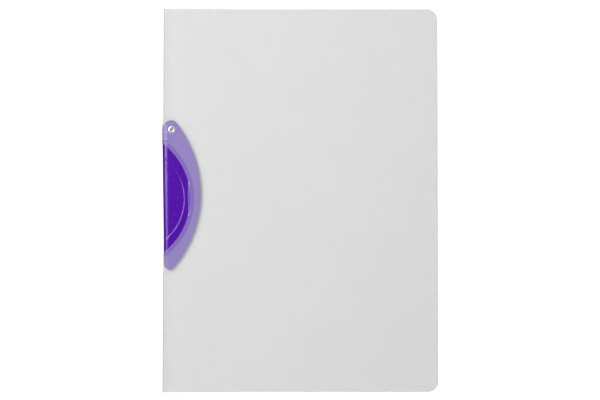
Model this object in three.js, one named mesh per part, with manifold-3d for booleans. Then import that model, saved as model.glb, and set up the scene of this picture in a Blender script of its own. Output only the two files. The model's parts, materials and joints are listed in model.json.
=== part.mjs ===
// Clip folder for A4 sheets. A film cover is folded round a narrow spine, and a half-moon steel clip
// swings out of a slot in the spine about a rivet.
// Millimetres, +Z up. The folder lies closed on its back cover, with its spine along Y on the left.
import * as THREE from "three";
import { mergeVertices } from "three/addons/utils/BufferGeometryUtils.js";
import Module from "manifold-3d";

const wasm = await Module();
wasm.setup();

// Film cover
const COVER_LENGTH = 310;
const COVER_WIDTH = 222;
const BACK_SHORTFALL = 1;
const FILM = 0.4;
const CORNER_RADIUS = 9;
const FOLD_GAP = 0.3;

// Gap left above and below each piece that moves
const RUN_GAP = 0.3;

// Clip sheet, bent to a U with its back along the spine
const SHEET = 0.6;
const JAW_GAP = 1.7;
const BEND_RADIUS = 1.2;
const CLIP_DEPTH = 30.3;
const EDGE_RADIUS = 92.7;
const EDGE_CENTRE_BELOW_RIVET = 50.3;
const HEAD_FILLET = 4;
const TAIL_RADIUS = 4.2;

// Place of the rivet, and the turn that the pushed-in clip comes to rest at
const RIVET_FROM_SPINE = 6.7;
const RIVET_ABOVE_MIDDLE = 56.6;
const RIVET_FROM_CLIP_BACK = 7.8;
const REST_TURN = THREE.MathUtils.degToRad(0.9);

// Pressed relief of the upper jaw
const GRIP_CENTRE_BELOW_RIVET = 54.9;
const PAD_DEPTH = 25.2;
const PAD_RADIUS = 58.3;
const PAD_RISE = 0.35;
const FIELD_CENTRE_BELOW_RIVET = 55.7;
const FIELD_DEPTH = 17.2;
const FIELD_RADIUS = 42.2;
const FIELD_DROP = 0.2;
const STEP_WALL = 0.6;
const GROOVE_DEPTH = 0.3;
const GROOVE_WIDTH = 2.8;
const GROOVE_LENGTH = 30;
const GROOVE_FROM_CLIP_BACK = 19.9;
const DOT_COUNT = 7;
const DOT_PITCH = 7.2;
const DOT_ARC_RADIUS = 42.6;
const DOT_ARC_DEPTH = 12.2;
const DOT_RADIUS = 0.55;
const DOT_RISE = 0.2;

// Lower jaw, sprung up to the groove so that it holds a single sheet
const PINCH_GAP = 0.3;
const SEAT_WIDTH = 11;
const JAW_LEAD_IN = 0.6;

// Rivet
const TUBE_RADIUS = 1.5;
const TUBE_BORE_RADIUS = 0.9;
const RIVET_HEAD_RADIUS = 3;
const RIVET_HEAD_THICKNESS = 0.35;
const RIVET_HEAD_EDGE = 0.15;
const FLANGE_THICKNESS = 0.2;
const TUBE_FIT = 0.1;
const HEAD_FIT = 0.15;

// Cover details round the clip
const CUTOUT_MARGIN = 3.2;
const SLOT_HEAD_GAP = 0.5;
const SLOT_TAIL_GAP = 1.5;
const LIP_OVERHANG = 0.2;

// Facets
const EDGE_FACETS = 40;
const ROUND_FACETS = 12;
const TUBE_FACETS = 32;

// Heights, from the table up
const clipBottom = FILM + RUN_GAP;
const seatTop = clipBottom + SHEET;
const jawUnderside = seatTop + JAW_GAP;
const jawTop = jawUnderside + SHEET;
const padTop = jawTop + PAD_RISE;
const fieldTop = padTop - FIELD_DROP;
const headUnderside = jawTop + HEAD_FIT;
const headTop = headUnderside + RIVET_HEAD_THICKNESS;
const frontUnderside = Math.max(padTop, headTop) + RUN_GAP;
const folderHeight = frontUnderside + FILM;

// The clip is drawn about the rivet: its back is at clipBack, its curved edge a circle about edgeCentre
const clipBack = -RIVET_FROM_CLIP_BACK;
const edgeCentre = new THREE.Vector2(clipBack + CLIP_DEPTH - EDGE_RADIUS, -EDGE_CENTRE_BELOW_RIVET);
const padCentre = new THREE.Vector2(clipBack + PAD_DEPTH - PAD_RADIUS, -GRIP_CENTRE_BELOW_RIVET);
const fieldCentre = new THREE.Vector2(clipBack + FIELD_DEPTH - FIELD_RADIUS, -FIELD_CENTRE_BELOW_RIVET);
const dotCentre = new THREE.Vector2(clipBack + DOT_ARC_DEPTH - DOT_ARC_RADIUS, -GRIP_CENTRE_BELOW_RIVET);
const grooveX = clipBack + GROOVE_FROM_CLIP_BACK;

// The round tail touches the clip's back and its curved edge from inside
const tailCentre = new THREE.Vector2(clipBack + TAIL_RADIUS, 0);
tailCentre.y = edgeCentre.y - legOf(EDGE_RADIUS - TAIL_RADIUS, tailCentre.x - edgeCentre.x);

// The folder is drawn from the spine's outer face, halfway along it
const pivot = new THREE.Vector2(RIVET_FROM_SPINE, RIVET_ABOVE_MIDDLE);
const lipReach = RIVET_FROM_CLIP_BACK - RIVET_FROM_SPINE + LIP_OVERHANG;
const cutoutRadius = PAD_RADIUS - CUTOUT_MARGIN;
const cutoutCentre = padCentre.clone().rotateAround(new THREE.Vector2(), REST_TURN).add(pivot);
const headCrossing = legOf(RIVET_FROM_CLIP_BACK, RIVET_FROM_SPINE - FILM);
const slotTop = pivot.y + headCrossing + SLOT_HEAD_GAP;
const slotBottom = pivot.y - tailCentre.length() - TAIL_RADIUS - SLOT_TAIL_GAP;

// The other leg of a right triangle
function legOf(hypotenuse, leg) {
  return Math.sqrt(hypotenuse ** 2 - leg ** 2);
}

function angleFrom(centre, point) {
  return Math.atan2(point.y - centre.y, point.x - centre.x);
}

// Closed three.js geometry to a solid for booleans
function toSolid(geometry) {
  const bare = geometry.clone();
  bare.deleteAttribute("normal");
  bare.deleteAttribute("uv");
  const merged = mergeVertices(bare, 1e-5);
  return new wasm.Manifold(new wasm.Mesh({
    numProp: 3,
    vertProperties: new Float32Array(merged.attributes.position.array),
    triVerts: new Uint32Array(merged.index.array),
  }));
}

function toGeometry(solid) {
  const mesh = solid.getMesh();
  const geometry = new THREE.BufferGeometry();
  geometry.setAttribute("position", new THREE.BufferAttribute(mesh.vertProperties, 3));
  geometry.setIndex(new THREE.BufferAttribute(mesh.triVerts, 1));
  geometry.computeVertexNormals();
  return geometry;
}

// A plan outline raised from one height to another
function slab(shape, bottom, top, facets = EDGE_FACETS) {
  const geometry = new THREE.ExtrudeGeometry(shape, {
    depth: top - bottom,
    bevelEnabled: false,
    curveSegments: facets,
  });
  geometry.translate(0, 0, bottom);
  return geometry;
}

// A section drawn across the clip, x by height, drawn out along Y
function drawnAlongY(section, low, high) {
  const geometry = new THREE.ExtrudeGeometry(section, {
    depth: high - low,
    bevelEnabled: false,
    curveSegments: ROUND_FACETS,
  });
  geometry.rotateX(Math.PI / 2);
  geometry.translate(0, high, 0);
  return geometry;
}

function disc(centre, radius) {
  return new THREE.Shape().absarc(centre.x, centre.y, radius, 0, 2 * Math.PI, false);
}

function rectangle(left, bottom, right, top) {
  return new THREE.Shape([
    new THREE.Vector2(left, bottom),
    new THREE.Vector2(right, bottom),
    new THREE.Vector2(right, top),
    new THREE.Vector2(left, top),
  ]);
}

// Half-moon outline: straight back, round head about the rivet, curved edge, small round tail
function clipOutline() {
  const rivet = new THREE.Vector2();
  const toRivet = rivet.distanceTo(edgeCentre);
  const reach = EDGE_RADIUS - HEAD_FILLET;
  const short = RIVET_FROM_CLIP_BACK - HEAD_FILLET;
  const along = (reach ** 2 - short ** 2 + toRivet ** 2) / (2 * toRivet);
  const across = legOf(reach, along);
  const line = rivet.clone().sub(edgeCentre).normalize();
  const fillet = edgeCentre.clone().addScaledVector(line, along);
  fillet.addScaledVector(new THREE.Vector2(-line.y, line.x), across);
  const headEnd = angleFrom(rivet, fillet);
  const edgeStart = angleFrom(edgeCentre, fillet);
  const edgeEnd = angleFrom(edgeCentre, tailCentre);
  const shape = new THREE.Shape();
  shape.moveTo(clipBack, tailCentre.y);
  shape.lineTo(clipBack, 0);
  shape.absarc(0, 0, RIVET_FROM_CLIP_BACK, Math.PI, headEnd, true);
  shape.absarc(fillet.x, fillet.y, HEAD_FILLET, headEnd, edgeStart, true);
  shape.absarc(edgeCentre.x, edgeCentre.y, EDGE_RADIUS, edgeStart, edgeEnd, true);
  shape.absarc(tailCentre.x, tailCentre.y, TAIL_RADIUS, edgeEnd, -Math.PI, true);
  return shape;
}

// The clip's back: a C from the lower jaw's underside round to the upper jaw's top
function backSection(top) {
  const inner = BEND_RADIUS - SHEET;
  const bend = clipBack + BEND_RADIUS;
  const low = clipBottom + BEND_RADIUS;
  const high = top - BEND_RADIUS;
  const end = bend + STEP_WALL;
  const shape = new THREE.Shape();
  shape.moveTo(end, clipBottom);
  shape.lineTo(end, seatTop);
  shape.absarc(bend, low, inner, -Math.PI / 2, -Math.PI, true);
  shape.absarc(bend, high, inner, Math.PI, Math.PI / 2, true);
  shape.lineTo(end, top - SHEET);
  shape.lineTo(end, top);
  shape.absarc(bend, high, BEND_RADIUS, Math.PI / 2, Math.PI, false);
  shape.absarc(bend, low, BEND_RADIUS, Math.PI, Math.PI * 1.5, false);
  return shape;
}

// The lower jaw: flat round the rivet, then up to a crest under the groove and down to a lead-in
function lowerJawSection() {
  const crest = padTop - GROOVE_DEPTH - SHEET - PINCH_GAP;
  const bend = clipBack + BEND_RADIUS;
  const seatEnd = clipBack + SEAT_WIDTH;
  const far = clipBack + CLIP_DEPTH + STEP_WALL;
  const tops = [
    new THREE.Vector2(bend, seatTop),
    new THREE.Vector2(seatEnd, seatTop),
    new THREE.Vector2(grooveX, crest),
    new THREE.Vector2(far, crest - JAW_LEAD_IN),
  ];
  const bottoms = tops.map((point) => new THREE.Vector2(point.x, point.y - SHEET)).reverse();
  return new THREE.Shape([...tops, ...bottoms]);
}

// One level of the upper jaw, as thick as the sheet, over a plan region
function jawLevel(region, top) {
  return toSolid(slab(region, top - SHEET, top));
}

// Half cylinder pressed down into the pad, and its outside one sheet lower
function grooveCylinder(extra) {
  const halfWidth = GROOVE_WIDTH / 2;
  const radius = (halfWidth ** 2 + GROOVE_DEPTH ** 2) / (2 * GROOVE_DEPTH);
  const axis = new THREE.Vector2(grooveX, padTop - GROOVE_DEPTH + radius);
  const middle = -GRIP_CENTRE_BELOW_RIVET;
  const half = GROOVE_LENGTH / 2 + extra;
  return toSolid(drawnAlongY(disc(axis, radius + extra), middle - half, middle + half));
}

function dot(centre) {
  const root = SHEET / 2;
  const profile = [
    new THREE.Vector2(0, -root),
    new THREE.Vector2(DOT_RADIUS, -root),
    new THREE.Vector2(DOT_RADIUS, 0),
    new THREE.Vector2(DOT_RADIUS * 0.7, DOT_RISE * 0.7),
    new THREE.Vector2(0, DOT_RISE),
  ];
  const geometry = new THREE.LatheGeometry(profile, ROUND_FACETS);
  geometry.rotateX(Math.PI / 2);
  geometry.translate(centre.x, centre.y, fieldTop);
  return toSolid(geometry);
}

function swingClipGeometry() {
  const outline = clipOutline();
  const everything = toSolid(slab(outline, 0, folderHeight));
  const low = tailCentre.y - TAIL_RADIUS;
  const high = RIVET_FROM_CLIP_BACK;
  const pad = toSolid(slab(disc(padCentre, PAD_RADIUS), 0, folderHeight));
  const padInside = toSolid(slab(disc(padCentre, PAD_RADIUS - STEP_WALL), jawTop - SHEET, folderHeight));
  const field = toSolid(slab(disc(fieldCentre, FIELD_RADIUS), 0, folderHeight));
  const fieldInside = toSolid(slab(disc(fieldCentre, FIELD_RADIUS - STEP_WALL), 0, folderHeight));
  const box = rectangle(clipBack + BEND_RADIUS, low, clipBack + CLIP_DEPTH + STEP_WALL, high);

  const edgeLevel = toSolid(drawnAlongY(backSection(jawTop), low, high)).add(jawLevel(box, jawTop));
  const padLevel = toSolid(drawnAlongY(backSection(padTop), low, high)).add(jawLevel(box, padTop));
  const fieldLevel = jawLevel(box, fieldTop);
  const fieldRegion = field.intersect(toSolid(slab(box, 0, folderHeight)));
  const fieldHole = fieldInside.intersect(toSolid(slab(box, fieldTop, folderHeight)));

  let clip = toSolid(drawnAlongY(lowerJawSection(), low, high));
  clip = clip.add(edgeLevel.subtract(padInside));
  clip = clip.add(padLevel.intersect(pad));
  clip = clip.add(fieldLevel.intersect(fieldRegion)).subtract(fieldHole);
  const grooveInside = grooveCylinder(0);
  const grooveOutside = grooveCylinder(SHEET);
  const belowPad = toSolid(slab(box, jawUnderside - SHEET, padTop - SHEET / 2));
  clip = clip.add(grooveOutside.intersect(belowPad)).subtract(grooveInside);
  for (let i = 0; i < DOT_COUNT; i += 1) {
    const angle = ((i - (DOT_COUNT - 1) / 2) * DOT_PITCH) / DOT_ARC_RADIUS;
    const offset = new THREE.Vector2(DOT_ARC_RADIUS, 0).rotateAround(new THREE.Vector2(), angle);
    clip = clip.add(dot(offset.add(dotCentre)));
  }
  const hole = toSolid(slab(disc(new THREE.Vector2(), TUBE_RADIUS + TUBE_FIT), 0, folderHeight, TUBE_FACETS));
  return toGeometry(clip.intersect(everything).subtract(hole));
}

// Cover panel outline: square at the spine, round at the two free corners
function panelOutline(width) {
  const half = COVER_LENGTH / 2;
  const shape = new THREE.Shape();
  shape.moveTo(0, -half);
  shape.lineTo(width - CORNER_RADIUS, -half);
  shape.absarc(width - CORNER_RADIUS, -half + CORNER_RADIUS, CORNER_RADIUS, -Math.PI / 2, 0, false);
  shape.absarc(width - CORNER_RADIUS, half - CORNER_RADIUS, CORNER_RADIUS, 0, Math.PI / 2, false);
  shape.lineTo(0, half);
  return shape;
}

function backCoverGeometry() {
  const panel = toSolid(slab(panelOutline(COVER_WIDTH - BACK_SHORTFALL), 0, FILM, ROUND_FACETS));
  const hole = toSolid(slab(disc(pivot, TUBE_RADIUS + TUBE_FIT), -FILM, 2 * FILM, TUBE_FACETS));
  const seat = disc(pivot, RIVET_HEAD_RADIUS + TUBE_FIT);
  const dent = toSolid(slab(seat, -FILM, FLANGE_THICKNESS + TUBE_FIT / 2, TUBE_FACETS));
  return toGeometry(panel.subtract(hole).subtract(dent));
}

function frontCoverGeometry() {
  const top = folderHeight;
  const panel = toSolid(slab(panelOutline(COVER_WIDTH), frontUnderside, top, ROUND_FACETS));
  const lip = toSolid(slab(rectangle(-lipReach, cutoutCentre.y, FILM, slotTop), frontUnderside, top));
  const cutout = toSolid(slab(disc(cutoutCentre, cutoutRadius), 0, 2 * top, 2 * EDGE_FACETS));
  return toGeometry(panel.add(lip).subtract(cutout));
}

// One stretch of the spine's film between the two folds
function spineGeometry(low, high) {
  const gap = FILM + FOLD_GAP;
  return slab(rectangle(0, low, FILM, high), gap, folderHeight - gap);
}

// Eyelet: flat flange below the film, open tube, rounded head above the clip
function rivetGeometry() {
  const profile = [
    new THREE.Vector2(TUBE_BORE_RADIUS, 0),
    new THREE.Vector2(RIVET_HEAD_RADIUS, 0),
    new THREE.Vector2(RIVET_HEAD_RADIUS, FLANGE_THICKNESS),
    new THREE.Vector2(TUBE_RADIUS, FLANGE_THICKNESS),
    new THREE.Vector2(TUBE_RADIUS, headUnderside),
    new THREE.Vector2(RIVET_HEAD_RADIUS, headUnderside),
    new THREE.Vector2(RIVET_HEAD_RADIUS, headUnderside + RIVET_HEAD_EDGE),
    new THREE.Vector2((RIVET_HEAD_RADIUS + TUBE_RADIUS) / 2, headTop),
    new THREE.Vector2(TUBE_BORE_RADIUS, headTop - RIVET_HEAD_EDGE),
    new THREE.Vector2(TUBE_BORE_RADIUS, 0),
  ];
  const geometry = new THREE.LatheGeometry(profile, TUBE_FACETS);
  geometry.rotateX(Math.PI / 2);
  return geometry;
}

const film = new THREE.MeshStandardMaterial({
  color: 0xdcdcde,
  roughness: 0.5,
  metalness: 0,
  transparent: true,
  opacity: 0.6,
});
const lacquer = new THREE.MeshStandardMaterial({ color: 0x5519a5, roughness: 0.25, metalness: 0.1 });
const nickel = new THREE.MeshStandardMaterial({ color: 0xd5d4d0, roughness: 0.25, metalness: 1 });

function named(name, geometry, material) {
  const mesh = new THREE.Mesh(geometry, material);
  mesh.name = name;
  return mesh;
}

const rivet = named("rivet", rivetGeometry(), nickel);
rivet.position.set(pivot.x, pivot.y, 0);

const swingClip = named("swing_clip", swingClipGeometry(), lacquer);
swingClip.position.set(pivot.x, pivot.y, 0);
swingClip.rotation.z = REST_TURN;

const folder = new THREE.Group();
folder.add(named("back_cover", backCoverGeometry(), film));
folder.add(named("spine_lower", spineGeometry(-COVER_LENGTH / 2, slotBottom), film));
folder.add(named("spine_upper", spineGeometry(slotTop, COVER_LENGTH / 2), film));
folder.add(named("front_cover", frontCoverGeometry(), film));
folder.add(swingClip);
folder.add(rivet);

// The origin is under the middle of the folder's box
folder.position.x = -(COVER_WIDTH - lipReach) / 2;

const clipFolder = new THREE.Group();
clipFolder.add(folder);

export default clipFolder;
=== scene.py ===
"""A clip folder for A4 sheets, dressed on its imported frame.

A cover of frosted film lies closed on a pale floor. A half-moon clip of lacquered spring steel sits in
the slot of its spine and turns on a nickelled rivet.
"""

import json
import logging
import math
from dataclasses import dataclass, field
from enum import Enum
from typing import Callable

import bpy
from mathutils import Matrix, Vector


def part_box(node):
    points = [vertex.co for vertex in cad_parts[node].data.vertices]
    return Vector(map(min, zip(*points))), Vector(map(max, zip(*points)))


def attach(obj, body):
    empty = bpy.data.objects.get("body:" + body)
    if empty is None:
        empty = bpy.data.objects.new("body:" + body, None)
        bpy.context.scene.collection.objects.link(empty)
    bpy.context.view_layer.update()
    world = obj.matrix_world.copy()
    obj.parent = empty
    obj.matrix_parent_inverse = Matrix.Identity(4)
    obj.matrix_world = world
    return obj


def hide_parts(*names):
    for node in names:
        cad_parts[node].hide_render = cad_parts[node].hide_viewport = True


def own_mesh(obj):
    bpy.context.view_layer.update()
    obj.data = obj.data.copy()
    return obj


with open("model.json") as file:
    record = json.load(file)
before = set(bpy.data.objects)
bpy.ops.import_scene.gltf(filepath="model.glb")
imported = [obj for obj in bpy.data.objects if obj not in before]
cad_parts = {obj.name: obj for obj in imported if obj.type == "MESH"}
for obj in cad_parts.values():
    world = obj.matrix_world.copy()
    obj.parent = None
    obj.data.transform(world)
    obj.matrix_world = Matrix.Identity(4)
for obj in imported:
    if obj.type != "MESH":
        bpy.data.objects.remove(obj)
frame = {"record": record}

LOG = logging.getLogger("clip_folder")
MM = 0.001
CUTTER_REACH = 5 * MM

Point = tuple[float, float]
Height = Callable[[float, float], float]


class Body(Enum):
    """The bodies of the frame that pieces ride on."""

    BACK = "back"
    SPINE = "spine"
    FRONT = "front"
    CLIP = "clip"


class Cut(Enum):
    """What a cutter does to the piece that it meets."""

    KEEP = "INTERSECT"
    REMOVE = "DIFFERENCE"


def linear(hex_colour: str) -> tuple[float, float, float, float]:
    """Turn an sRGB hex colour into linear light.

    Args:
        hex_colour: six hex digits after a hash sign.

    Returns:
        Red, green and blue in linear light, and an alpha of one.
    """
    channels = [int(hex_colour[i:i + 2], 16) / 255 for i in (1, 3, 5)]
    light = [c / 12.92 if c <= 0.04045 else ((c + 0.055) / 1.055) ** 2.4 for c in channels]
    return (light[0], light[1], light[2], 1.0)


def smooth(value: float, low: float, high: float) -> float:
    """Ease from 0 at low to 1 at high."""
    t = min(max((value - low) / (high - low), 0.0), 1.0)
    return t * t * (3 - 2 * t)


def leg_of(hypotenuse: float, leg: float) -> float:
    """Return the other leg of a right triangle."""
    return math.sqrt(hypotenuse ** 2 - leg ** 2)


def arc(centre: Point, radius: float, start: float, end: float, steps: int) -> list[Point]:
    """List points along an arc.

    Args:
        centre: the arc's centre.
        radius: its radius.
        start: the angle of its first point, in radians.
        end: the angle of its last point.
        steps: how many chords it has.

    Returns:
        The points in order, both ends among them.
    """
    angles = [start + (end - start) * i / steps for i in range(steps + 1)]
    return [(centre[0] + radius * math.cos(a), centre[1] + radius * math.sin(a)) for a in angles]


def angle_from(centre: Point, point: Point) -> float:
    """Return the direction from centre to point, in radians."""
    return math.atan2(point[1] - centre[1], point[0] - centre[0])


def add_node(tree: bpy.types.NodeTree, kind: str, settings: dict[str, object] | None = None,
             links: dict[str, bpy.types.NodeSocket] | None = None) -> bpy.types.Node:
    """Add a node to a material.

    Args:
        tree: the node tree that it goes into.
        kind: the node's type name.
        settings: values by socket name, or by attribute name where no socket has it.
        links: what feeds each socket.

    Returns:
        The new node.
    """
    node = tree.nodes.new(kind)
    for name, value in (settings or {}).items():
        if name in node.inputs:
            node.inputs[name].default_value = value
        else:
            setattr(node, name, value)
    for name, source in (links or {}).items():
        tree.links.new(source, node.inputs[name])
    return node


def blank_material(name: str) -> bpy.types.Material:
    """Return a new material with an empty node tree."""
    material = bpy.data.materials.new(name)
    material.use_nodes = True
    material.node_tree.nodes.clear()
    return material


def finish_material(material: bpy.types.Material, shader: bpy.types.NodeSocket) -> bpy.types.Material:
    """Send a shader to the material's output and return the material."""
    tree = material.node_tree
    output = tree.nodes.new("ShaderNodeOutputMaterial")
    tree.links.new(shader, output.inputs["Surface"])
    return material


def grain(tree: bpy.types.NodeTree, size_mm: float, depth_mm: float,
          detail: float = 2.0) -> bpy.types.NodeSocket:
    """Add a fine random relief.

    Args:
        tree: the material's node tree.
        size_mm: the width of one grain.
        depth_mm: how deep it is.
        detail: octaves of the noise.

    Returns:
        The normal socket that carries it.
    """
    place = add_node(tree, "ShaderNodeTexCoord")
    noise = add_node(tree, "ShaderNodeTexNoise", {"Scale": 1 / (size_mm * MM), "Detail": detail},
                     {"Vector": place.outputs["Object"]})
    bump = add_node(tree, "ShaderNodeBump", {"Strength": 1.0, "Distance": depth_mm * MM},
                    {"Height": noise.outputs["Fac"]})
    return bump.outputs["Normal"]


@dataclass(frozen=True)
class FrostedFilm:
    """Polypropylene film with a frosted face, calendered between a polished and a matt roll.

    Each of its two faces veils a share of the view in soft white, and the rest passes. Lamps shine
    through it, because the film scatters nearly all light onwards.
    """

    colour: str = "#f4f4f5"
    veil: float = 0.12
    pressed_veil: float = 0.08
    roughness: float = 0.45
    ior: float = 1.49
    grain_mm: float = 1.1
    grain_depth_mm: float = 0.004
    band_centre: Point | None = None
    band_radius: float = 0.0
    band_edge_mm: float = 0.3

    def material(self, name: str) -> bpy.types.Material:
        """Build the film's material under the given name."""
        made = blank_material(name)
        tree = made.node_tree
        shader = add_node(tree, "ShaderNodeBsdfPrincipled", {
            "Base Color": linear(self.colour),
            "Roughness": self.roughness,
            "IOR": self.ior,
            "Alpha": self.veil,
        }, {"Normal": grain(tree, self.grain_mm, self.grain_depth_mm)})
        if self.band_centre is not None:
            tree.links.new(self.pressed_band(tree), shader.inputs["Alpha"])
        path = add_node(tree, "ShaderNodeLightPath")
        clear = add_node(tree, "ShaderNodeBsdfTransparent")
        mixed = add_node(tree, "ShaderNodeMixShader", {}, {"Fac": path.outputs["Is Shadow Ray"]})
        tree.links.new(shader.outputs["BSDF"], mixed.inputs[1])
        tree.links.new(clear.outputs["BSDF"], mixed.inputs[2])
        return finish_material(made, mixed.outputs["Shader"])

    def pressed_band(self, tree: bpy.types.NodeTree) -> bpy.types.NodeSocket:
        """Thin the veil where the film lies pressed on the clip's pad, round the cutout."""
        place = add_node(tree, "ShaderNodeTexCoord")
        flat = add_node(tree, "ShaderNodeVectorMath", {"operation": "MULTIPLY"})
        tree.links.new(place.outputs["Object"], flat.inputs[0])
        flat.inputs[1].default_value = (1.0, 1.0, 0.0)
        away = add_node(tree, "ShaderNodeVectorMath", {"operation": "DISTANCE"})
        tree.links.new(flat.outputs["Vector"], away.inputs[0])
        away.inputs[1].default_value = (self.band_centre[0], self.band_centre[1], 0.0)
        edge = self.band_edge_mm * MM
        ramp = add_node(tree, "ShaderNodeMapRange", {
            "interpolation_type": "SMOOTHSTEP",
            "From Min": self.band_radius - edge,
            "From Max": self.band_radius + edge,
            "To Min": self.pressed_veil,
            "To Max": self.veil,
        }, {"Value": away.outputs["Value"]})
        return ramp.outputs["Result"]


@dataclass(frozen=True)
class PurpleLacquer:
    """Stoved gloss lacquer over pressed spring steel: deep purple under a clear, faintly uneven gloss."""

    colour: str = "#4f08a0"
    roughness: float = 0.18
    specular: float = 0.3
    coat_weight: float = 0.2
    coat_roughness: float = 0.06
    peel_mm: float = 1.6
    peel_depth_mm: float = 0.004

    def material(self, name: str) -> bpy.types.Material:
        """Build the lacquer's material under the given name."""
        made = blank_material(name)
        tree = made.node_tree
        shader = add_node(tree, "ShaderNodeBsdfPrincipled", {
            "Base Color": linear(self.colour),
            "Roughness": self.roughness,
            "Specular IOR Level": self.specular,
            "Coat Weight": self.coat_weight,
            "Coat Roughness": self.coat_roughness,
        }, {"Normal": grain(tree, self.peel_mm, self.peel_depth_mm, 1.0)})
        return finish_material(made, shader.outputs["BSDF"])


@dataclass(frozen=True)
class NickelPlate:
    """Bright nickel on a stamped steel eyelet, with the fine marks of the setting tool."""

    colour: str = "#cdc9c0"
    roughness: float = 0.16
    mark_mm: float = 0.5
    mark_depth_mm: float = 0.004

    def material(self, name: str) -> bpy.types.Material:
        """Build the plating's material under the given name."""
        made = blank_material(name)
        tree = made.node_tree
        shader = add_node(tree, "ShaderNodeBsdfPrincipled", {
            "Base Color": linear(self.colour),
            "Metallic": 1.0,
            "Roughness": self.roughness,
        }, {"Normal": grain(tree, self.mark_mm, self.mark_depth_mm)})
        return finish_material(made, shader.outputs["BSDF"])


@dataclass(frozen=True)
class StudioPaper:
    """Matt pale paper roll.

    The camera sees it as plain white, except through the film. Other surfaces see a darker tone, as from
    a small sheet.
    """

    colour: str = "#c8c8c8"
    bounce_colour: str = "#3c3c3c"
    lift: float = 0.7

    def material(self, name: str) -> bpy.types.Material:
        """Build the floor's material under the given name."""
        made = blank_material(name)
        tree = made.node_tree
        path = add_node(tree, "ShaderNodeLightPath")
        paper = add_node(tree, "ShaderNodeBsdfDiffuse", {"Color": linear(self.colour)})
        bounce = add_node(tree, "ShaderNodeBsdfDiffuse", {"Color": linear(self.bounce_colour)})
        ground = add_node(tree, "ShaderNodeMixShader", {}, {"Fac": path.outputs["Is Camera Ray"]})
        tree.links.new(bounce.outputs["BSDF"], ground.inputs[1])
        tree.links.new(paper.outputs["BSDF"], ground.inputs[2])
        bare = add_node(tree, "ShaderNodeMath", {"operation": "LESS_THAN"})
        tree.links.new(path.outputs["Transparent Depth"], bare.inputs[0])
        bare.inputs[1].default_value = 0.5
        seen = add_node(tree, "ShaderNodeMath", {"operation": "MULTIPLY"})
        tree.links.new(path.outputs["Is Camera Ray"], seen.inputs[0])
        tree.links.new(bare.outputs["Value"], seen.inputs[1])
        amount = add_node(tree, "ShaderNodeMath", {"operation": "MULTIPLY"})
        tree.links.new(seen.outputs["Value"], amount.inputs[0])
        amount.inputs[1].default_value = self.lift
        glow = add_node(tree, "ShaderNodeEmission", {}, {"Strength": amount.outputs["Value"]})
        both = add_node(tree, "ShaderNodeAddShader")
        tree.links.new(ground.outputs["Shader"], both.inputs[0])
        tree.links.new(glow.outputs["Emission"], both.inputs[1])
        return finish_material(made, both.outputs["Shader"])


def select_only(piece: bpy.types.Object) -> None:
    """Deselect everything, then select one object and make it active."""
    bpy.ops.object.select_all(action="DESELECT")
    piece.select_set(True)
    bpy.context.view_layer.objects.active = piece


def apply_modifier(piece: bpy.types.Object, kind: str, settings: dict[str, object]) -> None:
    """Add a modifier with its settings and apply it."""
    select_only(piece)
    modifier = piece.modifiers.new(kind.title(), kind)
    for name, value in settings.items():
        setattr(modifier, name, value)
    bpy.ops.object.modifier_apply(modifier=modifier.name)


def sheet_grid(name: str, columns: int, rows: int,
               place: Callable[[int, int], Vector]) -> bpy.types.Object:
    """Add a grid and move each crossing to its place.

    Args:
        name: the object's name.
        columns: faces across.
        rows: faces along.
        place: gives the position of column i and row j, in metres.

    Returns:
        The open sheet, with faces turned up where columns run along X and rows along Y.
    """
    bpy.ops.object.select_all(action="DESELECT")
    bpy.ops.mesh.primitive_grid_add(x_subdivisions=columns, y_subdivisions=rows, size=1.0)
    piece = bpy.context.active_object
    piece.name = name
    for vertex in piece.data.vertices:
        i = round((vertex.co.x + 0.5) * columns)
        j = round((vertex.co.y + 0.5) * rows)
        vertex.co = place(i, j)
    piece.data.update()
    return piece


def prism(outline: list[Point], low: float, high: float) -> bpy.types.Object:
    """Raise a plan outline to a closed cutter.

    Args:
        outline: the points in metres, counter-clockwise.
        low: the height of its underside.
        high: the height of its top.

    Returns:
        The cutter.
    """
    bpy.ops.object.select_all(action="DESELECT")
    bpy.ops.mesh.primitive_circle_add(vertices=len(outline), radius=1.0, fill_type="NOTHING")
    cutter = bpy.context.active_object
    for vertex, point in zip(cutter.data.vertices, outline):
        vertex.co = (point[0], point[1], low)
    bpy.ops.object.mode_set(mode="EDIT")
    bpy.ops.mesh.select_all(action="SELECT")
    bpy.ops.mesh.edge_face_add()
    bpy.ops.mesh.extrude_region_move(TRANSFORM_OT_translate={"value": (0, 0, high - low)})
    bpy.ops.mesh.select_all(action="SELECT")
    bpy.ops.mesh.normals_make_consistent(inside=False)
    bpy.ops.object.mode_set(mode="OBJECT")
    return cutter


def cut(piece: bpy.types.Object, cutter: bpy.types.Object, how: Cut) -> None:
    """Cut a piece with a cutter, then delete the cutter.

    The manifold solver is used, because the exact one doesn't cut the folded clip reliably.
    """
    apply_modifier(piece, "BOOLEAN", {"object": cutter, "operation": how.value, "solver": "MANIFOLD"})
    bpy.data.objects.remove(cutter, do_unlink=True)


def tidy_mesh(piece: bpy.types.Object, angle: float) -> None:
    """Merge doubles, turn faces outwards and shade smooth below an angle.

    Args:
        piece: the closed mesh.
        angle: edges sharper than this stay sharp, in degrees.
    """
    select_only(piece)
    bpy.ops.object.mode_set(mode="EDIT")
    bpy.ops.mesh.select_all(action="SELECT")
    bpy.ops.mesh.remove_doubles(threshold=1e-6)
    bpy.ops.mesh.normals_make_consistent(inside=False)
    bpy.ops.object.mode_set(mode="OBJECT")
    bpy.ops.object.shade_smooth_by_angle(angle=math.radians(angle))


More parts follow.
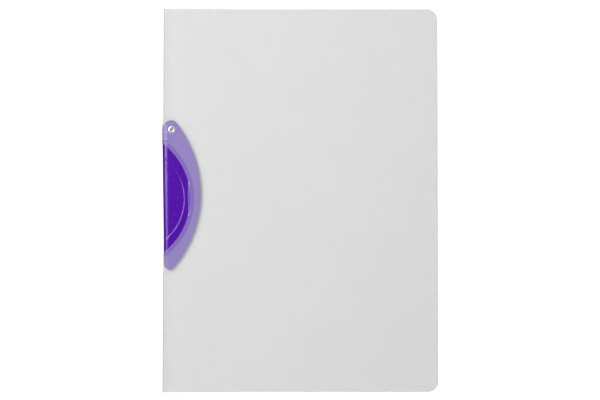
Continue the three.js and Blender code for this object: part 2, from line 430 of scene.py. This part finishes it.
def dress(piece: bpy.types.Object, material: bpy.types.Material, slot: str, body: Body,
          *nodes: str) -> None:
    """Give a piece its finish, its body and the CAD nodes that it stands for."""
    piece.data.materials.clear()
    piece.data.materials.append(material)
    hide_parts(*nodes)
    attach(piece, body.value)
    LOG.info("%s: %d faces on %s", piece.name, len(piece.data.polygons), body.value)


def spaced(stops: list[tuple[float, float]]) -> list[float]:
    """List positions from stretches of even steps.

    Args:
        stops: pairs of a position and the step used up to it; the first pair gives the start.

    Returns:
        The positions in order.
    """
    places = [stops[0][0]]
    for end, step in stops[1:]:
        start = places[-1]
        count = max(1, round((end - start) / step))
        places += [start + (end - start) * i / count for i in range(1, count + 1)]
    return places


@dataclass
class Layout:
    """Places read from the frame. Lengths are in metres, X from the spine's outer face."""

    spine_x: float = field(init=False)
    width: float = field(init=False)
    back_width: float = field(init=False)
    half_length: float = field(init=False)
    film: float = field(init=False)
    top: float = field(init=False)
    lip_reach: float = field(init=False)
    slot_low: float = field(init=False)
    slot_high: float = field(init=False)
    pivot: Point = field(init=False)

    def __post_init__(self) -> None:
        """Read the boxes of the film's panels and the clip's hinge."""
        back_low, back_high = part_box("back_cover")
        front_low, front_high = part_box("front_cover")
        joints = {j["name"]: j for j in frame["record"]["behaviour"]["joints"]}
        hinge = joints["clip_swing"]["pos_m"]
        self.spine_x = back_low.x
        self.width = front_high.x - back_low.x
        self.back_width = back_high.x - back_low.x
        self.half_length = back_high.y
        self.film = back_high.z - back_low.z
        self.top = front_high.z
        self.lip_reach = back_low.x - front_low.x
        self.slot_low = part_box("spine_lower")[1].y
        self.slot_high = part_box("spine_upper")[0].y
        self.pivot = (hinge[0] - back_low.x, hinge[1])

    def at(self, x: float, y: float, z: float) -> Vector:
        """Turn a place measured from the spine into the frame."""
        return Vector((self.spine_x + x, y, z))


@dataclass
class Relief:
    """The pressed form of the clip, in metres about its rivet, with its back along Y."""

    sheet: float = 0.6 * MM
    back: float = -7.8 * MM
    depth: float = 30.3 * MM
    edge_radius: float = 92.7 * MM
    edge_below: float = 50.3 * MM
    head_fillet: float = 4 * MM
    tail_radius: float = 4.2 * MM
    grip_below: float = 54.9 * MM
    pad_depth: float = 25.2 * MM
    pad_radius: float = 58.3 * MM
    pad_rise: float = 0.35 * MM
    field_below: float = 55.7 * MM
    field_depth: float = 17.2 * MM
    field_radius: float = 42.2 * MM
    field_drop: float = 0.14 * MM
    step: float = 0.3 * MM
    groove_x: float = 12.1 * MM
    groove_half_width: float = 1.7 * MM
    groove_depth: float = 0.38 * MM
    groove_half_length: float = 15 * MM
    groove_end: float = 2 * MM
    cutout_margin: float = 3.2 * MM
    rest_turn: float = math.radians(0.9)

    @property
    def edge_centre(self) -> Point:
        """Centre of the curved edge."""
        return (self.back + self.depth - self.edge_radius, -self.edge_below)

    @property
    def pad_centre(self) -> Point:
        """Centre of the raised pad's curved side."""
        return (self.back + self.pad_depth - self.pad_radius, -self.grip_below)

    @property
    def field_centre(self) -> Point:
        """Centre of the recessed field's curved side."""
        return (self.back + self.field_depth - self.field_radius, -self.field_below)

    @property
    def tail_centre(self) -> Point:
        """Centre of the round tail, which touches the back and the curved edge from inside."""
        x = self.back + self.tail_radius
        away = leg_of(self.edge_radius - self.tail_radius, x - self.edge_centre[0])
        return (x, self.edge_centre[1] - away)

    def inside(self, centre: Point, radius: float, x: float, y: float) -> float:
        """Return 1 inside a circle and 0 outside, with a pressed step between."""
        away = math.hypot(x - centre[0], y - centre[1])
        return 1 - smooth(away, radius - self.step, radius + self.step)

    def rise(self, x: float, y: float) -> float:
        """Return how far the pad stands above the outer rim at a point."""
        return self.pad_rise * self.inside(self.pad_centre, self.pad_radius, x, y)

    def height(self, x: float, y: float) -> float:
        """Return the relief of the upper jaw's top over its outer rim at a point."""
        drop = self.field_drop * self.inside(self.field_centre, self.field_radius, x, y)
        across = (x - self.groove_x) / self.groove_half_width
        along = abs(y + self.grip_below)
        ends = 1 - smooth(along, self.groove_half_length - self.groove_end, self.groove_half_length)
        groove = self.groove_depth * max(0.0, 1 - across * across) * ends
        return self.rise(x, y) - drop - groove

    def outline(self) -> list[Point]:
        """List the half-moon's outline, counter-clockwise from the tail."""
        rivet = (0.0, 0.0)
        cx, cy = self.edge_centre
        to_rivet = math.hypot(cx, cy)
        reach = self.edge_radius - self.head_fillet
        short = -self.back - self.head_fillet
        along = (reach ** 2 - short ** 2 + to_rivet ** 2) / (2 * to_rivet)
        across = leg_of(reach, along)
        ux, uy = -cx / to_rivet, -cy / to_rivet
        fillet = (cx + ux * along - uy * across, cy + uy * along + ux * across)
        head_end = angle_from(rivet, fillet)
        edge_start = angle_from((cx, cy), fillet)
        edge_end = angle_from((cx, cy), self.tail_centre)
        points = arc(self.tail_centre, self.tail_radius, -math.pi, edge_end, 24)
        points += arc((cx, cy), self.edge_radius, edge_end, edge_start, 140)[1:]
        points += arc(fillet, self.head_fillet, edge_start, head_end, 12)[1:]
        points += arc(rivet, -self.back, head_end, math.pi, 24)[1:]
        return points


@dataclass
class CoverFilm:
    """The film cover: back panel, two stretches of spine, and front panel with cutout and lip."""

    layout: Layout
    relief: Relief
    corner_radius: float = 9 * MM
    corner_steps: int = 24
    cutout_steps: int = 120
    rest_gap: float = 0.05 * MM
    shoulder_drop: float = 0.12 * MM
    shoulder_width: float = 4 * MM
    clip_level: float = 4.25 * MM
    fall_width: float = 74 * MM
    clip_width: float = 30 * MM
    clip_fade: float = 55 * MM
    clip_ease: float = 10 * MM
    dip_start: float = 2 * MM
    dip_end: float = 7 * MM
    tent_top: float = 2.6 * MM
    tent_foot: float = 7 * MM
    lip_drop: float = 0.2 * MM
    lip_crease: float = 1.4 * MM
    spine_bulge: float = 0.4 * MM
    flatten_keep: float = 0.12

    @property
    def cutout_centre(self) -> Point:
        """Centre of the thumb cutout, which is that of the clip's pad at rest."""
        x, y = self.relief.pad_centre
        turn = self.relief.rest_turn
        px, py = self.layout.pivot
        return (px + x * math.cos(turn) - y * math.sin(turn), py + x * math.sin(turn) + y * math.cos(turn))

    @property
    def cutout_radius(self) -> float:
        """Radius of the thumb cutout."""
        return self.relief.pad_radius - self.relief.cutout_margin

    def panel_outline(self, width: float) -> list[Point]:
        """List a plain panel's outline, counter-clockwise from its lower spine corner."""
        half = self.layout.half_length
        inset = self.corner_radius
        points = [(0.0, -half)]
        points += arc((width - inset, -half + inset), inset, -math.pi / 2, 0, self.corner_steps)
        points += arc((width - inset, half - inset), inset, 0, math.pi / 2, self.corner_steps)
        points.append((0.0, half))
        return points

    def front_outline(self) -> list[Point]:
        """List the front panel's outline with its lip and its thumb cutout."""
        layout = self.layout
        centre, radius = self.cutout_centre, self.cutout_radius
        lip_y = centre[1] + leg_of(radius, layout.lip_reach + centre[0])
        low_y = centre[1] - leg_of(radius, centre[0])
        points = self.panel_outline(layout.width)
        points += [(0.0, layout.slot_high), (-layout.lip_reach, layout.slot_high)]
        top = angle_from(centre, (-layout.lip_reach, lip_y))
        bottom = angle_from(centre, (0.0, low_y))
        return points + arc(centre, radius, top, bottom, self.cutout_steps)

    def front_height(self, x: float, y: float) -> float:
        """Return the height of the front film's middle at a point.

        The film is held up at the fold and by the clip, and comes down on the back panel beyond it.
        """
        layout = self.layout
        fold = layout.top - layout.film / 2
        floor = layout.film * 1.5 + self.rest_gap
        px, py = layout.pivot
        clip_low = py - self.relief.edge_below * 2
        over_clip = smooth(y, clip_low - self.clip_fade, clip_low + self.clip_ease)
        over_clip *= 1 - smooth(y, py - self.clip_ease, py + self.clip_fade)
        held = self.clip_width * over_clip
        fall = smooth(x, held, held + self.fall_width)
        level = fold - self.shoulder_drop * (1 - smooth(x, 0.0, self.shoulder_width))
        tent = 1 - smooth(math.hypot(x - px, y - py), self.tent_top, self.tent_foot)
        sunk = smooth(x, self.dip_start, self.dip_end) * over_clip * (1 - tent)
        dip = (fold - self.clip_level) * sunk
        lip = self.lip_drop * (1 - smooth(x, -layout.lip_reach, self.lip_crease)) * self.on_lip(y)
        return floor + (level - dip - lip - floor) * (1 - fall)

    def on_lip(self, y: float) -> float:
        """Return 1 along the lip over the clip's back, and 0 elsewhere along the fold."""
        return 1.0 if self.cutout_centre[1] < y < self.layout.slot_high + 0.01 * MM else 0.0

    def rows(self) -> list[float]:
        """List the rows of a panel, closer together along the clip."""
        half = self.layout.half_length
        return spaced([(-half, 0), (-70 * MM, 2.5 * MM), (-50 * MM, 1 * MM), (30 * MM, 1.4 * MM),
                       (self.layout.slot_high, 0.7 * MM), (self.layout.slot_high + 0.02 * MM, 0.02 * MM),
                       (72 * MM, 0.9 * MM), (half, 2.5 * MM)])

    def columns(self, start: float, end: float) -> list[float]:
        """List the columns of a panel, closer together along the spine."""
        return spaced([(start, 0), (9 * MM, 0.5 * MM), (32 * MM, 1 * MM), (end, 2.5 * MM)])

    def panel(self, name: str, outline: list[Point], start: float, width: float,
              height: Height) -> bpy.types.Object:
        """Build one panel of film.

        Args:
            name: the piece's name.
            outline: its outline, from the spine.
            start: its lowest X.
            width: its highest X.
            height: the height of the film's middle at a point.

        Returns:
            The closed panel.
        """
        layout = self.layout
        margin = 0.5 * MM
        xs = self.columns(start - margin, width + margin)
        ys = [-layout.half_length - margin, *self.rows(), layout.half_length + margin]
        piece = sheet_grid(name, len(xs) - 1, len(ys) - 1,
                           lambda i, j: layout.at(xs[i], ys[j], height(xs[i], ys[j])))
        apply_modifier(piece, "SOLIDIFY", {"thickness": layout.film, "offset": 0.0})
        placed = [(layout.spine_x + x, y) for x, y in outline]
        cut(piece, prism(placed, -CUTTER_REACH, layout.top + CUTTER_REACH), Cut.KEEP)
        tidy_mesh(piece, 40)
        return piece

    def spine(self, name: str, low: float, high: float) -> bpy.types.Object:
        """Build one stretch of spine, bowed out a little between the folds."""
        layout = self.layout
        half = layout.film / 2
        rises = spaced([(half, 0), (layout.top - half, 0.4 * MM)])
        rows = spaced([(low, 0), (high, 4 * MM)])
        tall = rises[-1] - rises[0]

        def place(i: int, j: int) -> Vector:
            """Place column i up the spine and row j along it."""
            bow = self.spine_bulge * math.sin(math.pi * (rises[i] - half) / tall)
            return layout.at(half - bow, rows[j], rises[i])

        piece = sheet_grid(name, len(rises) - 1, len(rows) - 1, place)
        apply_modifier(piece, "SOLIDIFY", {"thickness": layout.film, "offset": 0.0})
        tidy_mesh(piece, 40)
        return piece

    def build(self) -> None:
        """Build and dress the four pieces of film."""
        layout = self.layout
        half = layout.half_length
        cx, cy = self.cutout_centre
        plain = FrostedFilm().material("frosted_film")
        pressed = FrostedFilm(band_centre=(layout.spine_x + cx, cy),
                              band_radius=self.relief.pad_radius).material("frosted_film_front")
        back = self.panel("back_film", self.panel_outline(layout.back_width), 0.0, layout.back_width,
                          lambda x, y: layout.film / 2)
        dress(back, plain, "film", Body.BACK, "back_cover")
        for name, node, low, high in (
            ("spine_film_lower", "spine_lower", -half, layout.slot_low),
            ("spine_film_upper", "spine_upper", layout.slot_high, half),
        ):
            dress(self.spine(name, low, high), plain, "film", Body.SPINE, node)
        front = self.panel("front_film", self.front_outline(), -layout.lip_reach, layout.width,
                           self.front_height)
        dress(front, pressed, "film", Body.FRONT, "front_cover")
        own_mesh(front)


@dataclass
class SwingClip:
    """The half-moon clip: one sheet folded to a U along its back, with its relief pressed in."""

    layout: Layout
    relief: Relief
    jaw_step: float = 0.42 * MM
    row_step: float = 0.55 * MM
    bend_width: float = 1.9 * MM
    bend_steps: int = 10
    web_lean: float = 1.3
    margin: float = 1 * MM
    shoulder_end: float = -2.7 * MM
    shoulder_curve: float = 0.028 / MM
    seat_end: float = 3.2 * MM
    pinch_gap: float = 0.3 * MM
    lead_in: float = 0.6 * MM
    hole_radius: float = 1.6 * MM
    dot_count: int = 7
    dot_pitch: float = 7.2 * MM
    dot_arc_radius: float = 42.6 * MM
    dot_arc_depth: float = 12.2 * MM
    dot_radius: float = 0.7 * MM
    dot_rise: float = 0.4 * MM
    bottom: float = field(init=False)
    rim_top: float = field(init=False)

    def __post_init__(self) -> None:
        """Read the lower jaw's underside and the upper jaw's rim, which lies below its pad."""
        low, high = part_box("swing_clip")
        self.bottom = low.z
        self.rim_top = high.z - self.relief.pad_rise

    def section(self, y: float) -> list[tuple[float, float]]:
        """List the outer face of the folded sheet across one row.

        Args:
            y: the row's place about the rivet.

        Returns:
            Pairs of X and Z, from the upper jaw's far edge round the back to the lower jaw's.
        """
        relief = self.relief
        bend = relief.back + self.bend_width
        far = relief.back + relief.depth + self.margin
        count = round((far - bend) / self.jaw_step)
        xs = [far + (bend - far) * i / count for i in range(count + 1)]
        points = [(x, self.rim_top + relief.height(x, y) - self.shoulder(x)) for x in xs]
        top = self.rim_top + relief.rise(bend, y) - self.shoulder(bend)
        shoulder = points[-1][1] - top
        middle = (top + self.bottom) / 2
        radius = (top - self.bottom) / 2
        for i in range(1, 2 * self.bend_steps):
            angle = math.pi / 2 + math.pi * i / (2 * self.bend_steps)
            fade = max(0.0, math.sin(angle)) ** 2
            if angle < math.pi:
                rise = 1 - (-math.cos(angle)) ** self.web_lean
            else:
                rise = math.sin(angle)
            points.append((bend + self.bend_width * math.cos(angle),
                           middle + radius * rise + shoulder * fade))
        crest = self.rim_top + relief.pad_rise - relief.groove_depth - 2 * relief.sheet - self.pinch_gap
        for x in spaced([(bend, 0), (far, 1.5 * MM)]):
            up = smooth(x, self.seat_end, relief.groove_x)
            down = self.lead_in * smooth(x, relief.groove_x, far)
            points.append((x, self.bottom + (crest - self.bottom) * up - down))
        return points

    def shoulder(self, x: float) -> float:
        """Return how far the jaw has curved down towards its back at a place across it."""
        return self.shoulder_curve * max(0.0, self.shoulder_end - x) ** 2

    def sheet_body(self) -> bpy.types.Object:
        """Build the folded sheet and trim it to the half-moon."""
        relief = self.relief
        low = relief.tail_centre[1] - relief.tail_radius - self.margin
        high = -relief.back + self.margin
        rows = spaced([(low, 0), (high, self.row_step)])
        sections = [self.section(y) for y in rows]

        def place(i: int, j: int) -> Vector:
            """Place step i of the section on row j."""
            x, z = sections[j][i]
            return Vector((x, rows[j], z))

        piece = sheet_grid("clip_lacquered", len(sections[0]) - 1, len(rows) - 1, place)
        apply_modifier(piece, "SOLIDIFY", {"thickness": relief.sheet, "offset": 1.0})
        cut(piece, prism(relief.outline(), -CUTTER_REACH, self.layout.top + CUTTER_REACH), Cut.KEEP)
        hole = arc((0.0, 0.0), self.hole_radius, 0, 2 * math.pi, 48)[:-1]
        cut(piece, prism(hole, -CUTTER_REACH, self.layout.top + CUTTER_REACH), Cut.REMOVE)
        return piece

    def dots(self) -> list[bpy.types.Object]:
        """Build the row of small pressed dots."""
        relief = self.relief
        cx = relief.back + self.dot_arc_depth - self.dot_arc_radius
        cy = -relief.grip_below
        made = []
        for i in range(self.dot_count):
            angle = (i - (self.dot_count - 1) / 2) * self.dot_pitch / self.dot_arc_radius
            x = cx + self.dot_arc_radius * math.cos(angle)
            y = cy + self.dot_arc_radius * math.sin(angle)
            bpy.ops.object.select_all(action="DESELECT")
            bpy.ops.mesh.primitive_uv_sphere_add(segments=20, ring_count=12, radius=1.0)
            dot = bpy.context.active_object
            level = self.rim_top + relief.height(x, y)
            scale = Matrix.Diagonal((self.dot_radius, self.dot_radius, self.dot_rise, 1.0))
            dot.data.transform(Matrix.Translation((x, y, level)) @ scale)
            made.append(dot)
        return made

    def build(self) -> None:
        """Build the clip, turn it to its rest and dress it."""
        piece = self.sheet_body()
        dots = self.dots()
        bpy.ops.object.select_all(action="DESELECT")
        for dot in dots:
            dot.select_set(True)
        piece.select_set(True)
        bpy.context.view_layer.objects.active = piece
        bpy.ops.object.join()
        px, py = self.layout.pivot
        place = Matrix.Translation(self.layout.at(px, py, 0.0))
        piece.data.transform(place @ Matrix.Rotation(self.relief.rest_turn, 4, "Z"))
        tidy_mesh(piece, 35)
        dress(piece, PurpleLacquer().material("purple_lacquer"), "lacquer", Body.CLIP, "swing_clip")


@dataclass
class Rivet:
    """The eyelet that the clip turns on: flange under the film, tube, and a domed head with a dished bore."""

    layout: Layout
    head_radius: float = 3 * MM
    tube_radius: float = 1.5 * MM
    bore_radius: float = 0.9 * MM
    flange: float = 0.2 * MM
    head: float = 0.35 * MM
    turns: int = 64

    def profile(self) -> list[Point]:
        """List the closed section, radius by height."""
        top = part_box("rivet")[1].z
        under = top - self.head
        crown = (self.head_radius + self.bore_radius) / 2
        half = (self.head_radius - self.bore_radius) / 2
        dome = [(crown + half * math.cos(a), under + self.head * math.sin(a))
                for a in (math.pi * i / 16 for i in range(17))]
        return [(self.bore_radius, 0.0), (self.head_radius, 0.0), (self.head_radius, self.flange),
                (self.tube_radius, self.flange), (self.tube_radius, under), *dome]

    def build(self) -> None:
        """Spin the section round the rivet's axis and dress it."""
        points = self.profile()
        bpy.ops.object.select_all(action="DESELECT")
        bpy.ops.mesh.primitive_circle_add(vertices=len(points), radius=1.0, fill_type="NOTHING")
        piece = bpy.context.active_object
        piece.name = "rivet_nickel"
        px, py = self.layout.pivot
        axis = self.layout.at(px, py, 0.0)
        for vertex, (radius, height) in zip(piece.data.vertices, points):
            vertex.co = axis + Vector((radius, 0.0, height))
        bpy.ops.object.mode_set(mode="EDIT")
        bpy.ops.mesh.select_all(action="SELECT")
        bpy.ops.mesh.spin(steps=self.turns, angle=2 * math.pi, center=axis, axis=(0, 0, 1))
        bpy.ops.object.mode_set(mode="OBJECT")
        tidy_mesh(piece, 40)
        dress(piece, NickelPlate().material("nickel_plate"), "nickel", Body.BACK, "rivet")


@dataclass
class Studio:
    """Plain floor, soft light and the camera at the photograph's angle."""

    layout: Layout
    frame_width: float = 483.9 * MM
    lens: float = 100.0
    sensor: float = 36.0
    elevation: float = math.radians(88)
    floor_size: float = 6.0
    world_strength: float = 1.05
    overhead_strength: float = 0.06
    tent_open: float = 0.8
    tent_shut: float = 0.95
    tent_foot: float = 0.3
    tent_wall: float = 0.7
    foot_share: float = 0.05
    key_power: float = 28.0
    key_place: tuple[float, float, float] = (-0.9, 0.6, 1.7)
    key_size: float = 1.1
    look_at: tuple[float, float] = (0.0, -0.0002)

    def floor(self) -> None:
        """Lay the paper floor."""
        bpy.ops.object.select_all(action="DESELECT")
        bpy.ops.mesh.primitive_plane_add(size=self.floor_size, location=(0, 0, -0.02 * MM))
        piece = bpy.context.active_object
        piece.name = "paper_floor"
        piece.data.materials.append(StudioPaper().material("studio_paper"))

    def lights(self) -> None:
        """Set a white light tent, dark overhead where the camera looks in, and one broad lamp."""
        world = bpy.data.worlds.new("studio_world")
        world.use_nodes = True
        tree = world.node_tree
        way = add_node(tree, "ShaderNodeTexCoord")
        parts = add_node(tree, "ShaderNodeSeparateXYZ", {}, {"Vector": way.outputs["Generated"]})
        overhead = add_node(tree, "ShaderNodeMapRange", {
            "interpolation_type": "SMOOTHSTEP",
            "From Min": self.tent_open,
            "From Max": self.tent_shut,
            "To Min": self.world_strength,
            "To Max": self.overhead_strength,
        }, {"Value": parts.outputs["Z"]})
        low = add_node(tree, "ShaderNodeMapRange", {
            "interpolation_type": "SMOOTHSTEP",
            "From Min": self.tent_foot,
            "From Max": self.tent_wall,
            "To Min": self.foot_share,
            "To Max": 1.0,
        }, {"Value": parts.outputs["Z"]})
        strength = add_node(tree, "ShaderNodeMath", {"operation": "MULTIPLY"})
        tree.links.new(overhead.outputs["Result"], strength.inputs[0])
        tree.links.new(low.outputs["Result"], strength.inputs[1])
        tree.links.new(strength.outputs["Value"], tree.nodes["Background"].inputs["Strength"])
        tree.nodes["Background"].inputs["Color"].default_value = (1.0, 1.0, 1.0, 1.0)
        bpy.context.scene.world = world
        lamp = bpy.data.lights.new("key", "AREA")
        lamp.energy = self.key_power
        lamp.size = self.key_size
        key = bpy.data.objects.new("key", lamp)
        key.location = self.key_place
        key.rotation_euler = (-Vector(self.key_place)).to_track_quat("-Z", "Y").to_euler()
        bpy.context.collection.objects.link(key)

    def camera(self) -> None:
        """Put the camera over the folder, leaning a little from below."""
        lens = bpy.data.cameras.new("camera")
        lens.lens = self.lens
        lens.sensor_width = self.sensor
        camera = bpy.data.objects.new("camera", lens)
        bpy.context.collection.objects.link(camera)
        distance = self.frame_width * self.lens / self.sensor
        target = Vector((self.look_at[0], self.look_at[1], self.layout.top))
        back = Vector((0.0, -math.cos(self.elevation), math.sin(self.elevation)))
        camera.location = target + back * distance
        camera.rotation_euler = (math.pi / 2 - self.elevation, 0.0, 0.0)
        bpy.context.scene.camera = camera

    def build(self) -> None:
        """Build the studio and set the plain colour view."""
        self.floor()
        self.lights()
        self.camera()
        bpy.context.scene.view_settings.view_transform = "Standard"


def main() -> None:
    """Build the folder piece by piece."""
    logging.basicConfig(level=logging.INFO, format="%(name)s: %(message)s")
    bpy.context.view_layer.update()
    layout = Layout()
    relief = Relief()
    Studio(layout).build()
    SwingClip(layout, relief).build()
    Rivet(layout).build()
    CoverFilm(layout, relief).build()


if __name__ == "__main__":
    main()
